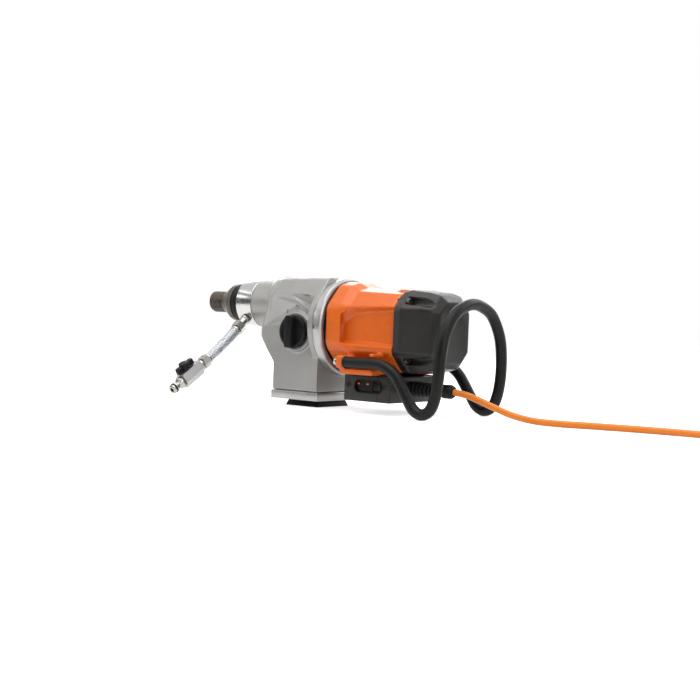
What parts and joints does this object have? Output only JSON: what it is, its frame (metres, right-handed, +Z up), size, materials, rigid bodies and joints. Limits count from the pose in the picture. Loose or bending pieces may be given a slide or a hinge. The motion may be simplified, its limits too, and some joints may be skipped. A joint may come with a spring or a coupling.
{
  "type": "core drill motor",
  "caption": "Three-speed core drill motor unit with a bow handle, water collar with hose and valve, gear knob, switch box and mains lead.",
  "frame": {"origin": "centre of the tool without its lead and hose, on the surface it stands on", "axes": "+X along the spindle towards the handle and lead, -Y towards the gear knob and switches, +Z up"},
  "size_m": [0.9223, 0.3841, 0.187],
  "materials": {
    "black_plastic": "black moulded",
    "black_rubber": "satin black rubber",
    "board_green": "circuit board",
    "carbon": "pressed carbon",
    "cast_aluminium": "satin cast",
    "charcoal_plastic": "satin charcoal",
    "copper": "copper",
    "ground_steel": "ground",
    "lamination_steel": "lamination stack",
    "machined_aluminium": "machined",
    "nickel": "nickel plated",
    "orange_paint": "glossy orange shell",
    "orange_rubber": "orange cable sheath",
    "phosphated_steel": "dark phosphated",
    "steel_braid": "woven wire braid"
  },
  "bodies": {
    "armature": {"armature_core": "lamination_steel", "armature_shaft": "ground_steel", "commutator": "copper", "fan": "black_plastic"},
    "housing": {"armature_front_bearing": "ground_steel", "armature_rear_bearing": "ground_steel", "base_plate": "machined_aluminium", "brush_holder_left": "black_plastic", "brush_holder_right": "black_plastic", "cable_coil": "orange_rubber", "cable_gland": "black_plastic", "carbon_brush_left": "carbon", "carbon_brush_right": "carbon", "clamp_bolt_far": "ground_steel", "clamp_bolt_near": "ground_steel", "collar_seal": "black_rubber", "control_board": "board_green", "countershaft_front_bearing": "ground_steel", "countershaft_rear_bearing": "ground_steel", "cover_screw_1": "ground_steel", "cover_screw_2": "ground_steel", "cover_screw_3": "ground_steel", "cover_screw_4": "ground_steel", "end_shield": "black_plastic", "fork_rail": "ground_steel", "gear_cover": "cast_aluminium", "gear_housing": "cast_aluminium", "handle_tube": "black_rubber", "hose_coupling": "nickel", "hose_ferrule_lower": "nickel", "hose_ferrule_upper": "nickel", "motor_housing": "orange_paint", "mounting_foot": "black_plastic", "plug": "black_rubber", "power_cable": "orange_rubber", "rear_cover": "charcoal_plastic", "spindle_front_bearing": "ground_steel", "spindle_rear_bearing": "ground_steel", "stator": "lamination_steel", "strain_relief": "black_rubber", "switch_box": "charcoal_plastic", "switch_panel": "black_plastic", "valve_body": "machined_aluminium", "water_collar": "machined_aluminium", "water_hose": "steel_braid", "water_nipple": "nickel"},
    "countershaft": {"counter_gear": "ground_steel", "countershaft": "ground_steel"},
    "selector": {"selector_knob": "black_plastic", "selector_shaft": "ground_steel"},
    "shift_fork": {"shift_fork": "ground_steel"},
    "shift_sleeve": {"shift_sleeve": "ground_steel"},
    "spindle": {"slinger": "black_rubber", "spindle": "phosphated_steel", "spindle_gear_second": "ground_steel"},
    "gear_first": {"spindle_gear_first": "ground_steel"},
    "gear_third": {"spindle_gear_third": "ground_steel"},
    "rocker": {"switch_rocker": "black_plastic"},
    "valve": {"valve_ball": "nickel", "valve_handle": "black_plastic"}
  },
  "joints": [
    {"name": "spindle_spin", "type": "hinge", "parent": "housing", "child": "spindle", "pos_m": [-0.243, 0, 0.1455], "axis": [1, 0, 0], "continuous": true},
    {"name": "gear_first_spin", "type": "hinge", "parent": "housing", "child": "gear_first", "pos_m": [-0.1021, 0, 0.1455], "axis": [1, 0, 0], "continuous": true},
    {"name": "gear_third_spin", "type": "hinge", "parent": "housing", "child": "gear_third", "pos_m": [-0.1021, 0, 0.1455], "axis": [1, 0, 0], "continuous": true},
    {"name": "countershaft_spin", "type": "hinge", "parent": "housing", "child": "countershaft", "pos_m": [-0.1021, 0.02691, 0.11867], "axis": [1, 0, 0], "continuous": true},
    {"name": "armature_spin", "type": "hinge", "parent": "housing", "child": "armature", "pos_m": [0.0285, 0, 0.1165], "axis": [1, 0, 0], "continuous": true},
    {"name": "selector_turn", "type": "hinge", "parent": "housing", "child": "selector", "pos_m": [-0.0281, -0.0604, 0.1076], "axis": [0, 1, 0], "range_deg": [-35, 35]},
    {"name": "fork_slide", "type": "slide", "parent": "housing", "child": "shift_fork", "axis": [1, 0, 0], "range_m": [-0.0104, 0.0104]},
    {"name": "sleeve_slide", "type": "slide", "parent": "spindle", "child": "shift_sleeve", "axis": [1, 0, 0], "range_m": [-0.0104, 0.0104]},
    {"name": "valve_turn", "type": "hinge", "parent": "housing", "child": "valve", "pos_m": [-0.1532, -0.14535, 0.03816], "axis": [0, -0.5299, 0.848], "range_deg": [0, 90]},
    {"name": "rocker_tilt", "type": "hinge", "parent": "housing", "child": "rocker", "pos_m": [0.1205, -0.051, 0.038], "axis": [0, 0, 1], "range_deg": [0, 10]}
  ],
  "couplings": [
    {"joint": "gear_first_spin", "follows": "spindle_spin", "ratio": 0.69841},
    {"joint": "gear_third_spin", "follows": "spindle_spin", "ratio": 1.3878},
    {"joint": "countershaft_spin", "follows": "spindle_spin", "ratio": -1.7143},
    {"joint": "armature_spin", "follows": "spindle_spin", "ratio": 5.1429},
    {"joint": "fork_slide", "follows": "selector_turn", "m_per_rad": 0.0169},
    {"joint": "sleeve_slide", "follows": "selector_turn", "m_per_rad": 0.0169}
  ]
}
